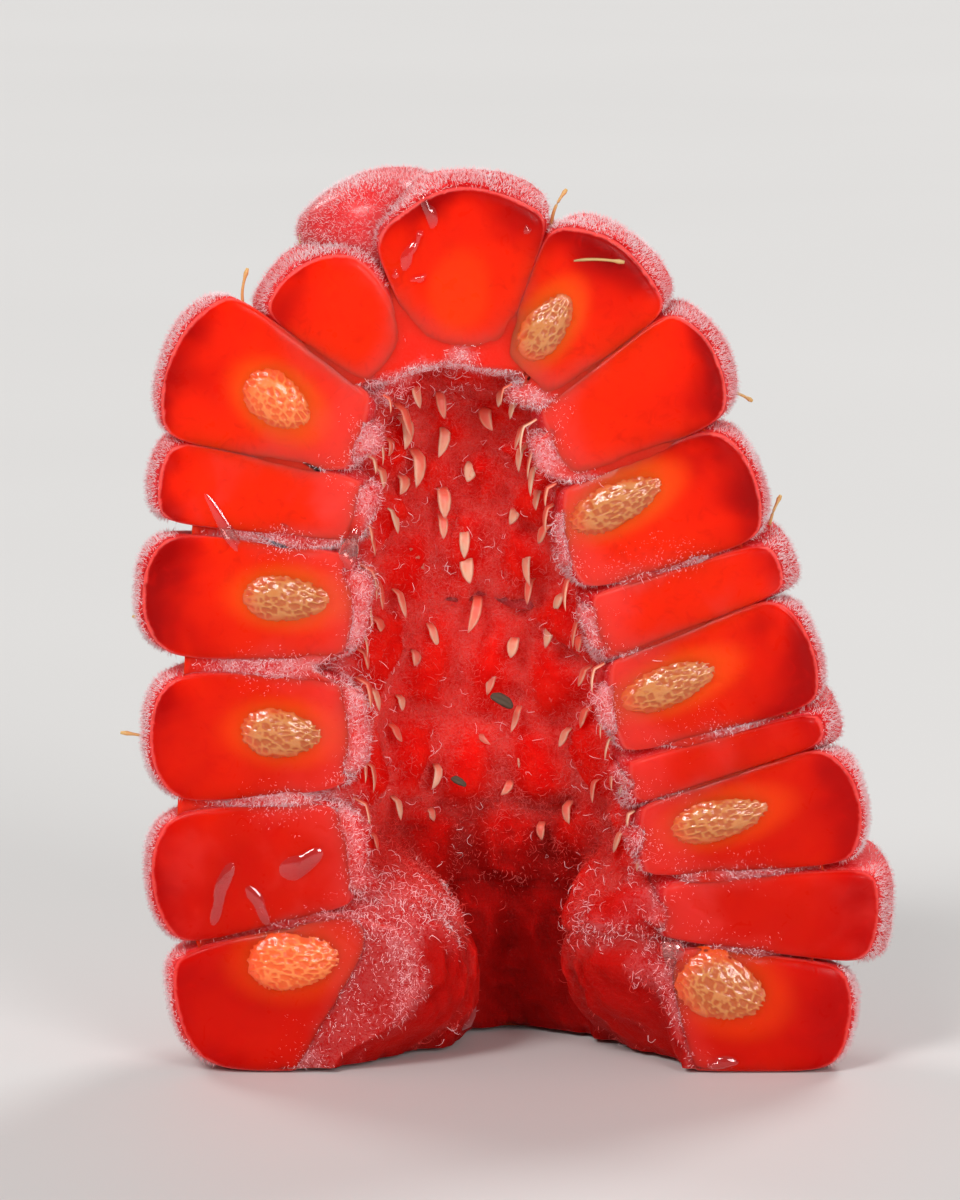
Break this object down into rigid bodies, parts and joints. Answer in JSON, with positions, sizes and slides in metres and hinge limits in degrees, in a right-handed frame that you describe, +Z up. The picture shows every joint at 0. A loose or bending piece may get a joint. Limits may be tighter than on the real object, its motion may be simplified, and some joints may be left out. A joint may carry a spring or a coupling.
{
  "type": "raspberry half",
  "caption": "Raspberry cut in half lengthwise and standing on its open rim, with juicy drupelets round a hollow, bare stones and fine fuzz.",
  "frame": {"origin": "middle of the footprint, on the surface that the rim rests on", "axes": "+Z up along the fruit to its tip, -Y out of the cut face, +X to the cut face's right"},
  "size_m": [0.0186, 0.0097, 0.0216],
  "materials": {
    "flesh": "wet translucent red flesh, crimson skin and felt under fine pale fuzz",
    "stone": "netted cream stone, moist",
    "anther": "dry dark brown"
  },
  "bodies": {
    "root": {"flesh": "flesh", "seed_left_1": "stone", "seed_left_3": "stone", "seed_left_4": "stone", "seed_left_6": "stone", "seed_right_1": "stone", "seed_right_3": "stone", "seed_right_5": "stone", "seed_right_7": "stone", "seed_right_9": "stone", "anther_1": "anther", "anther_2": "anther"}
  },
  "joints": []
}
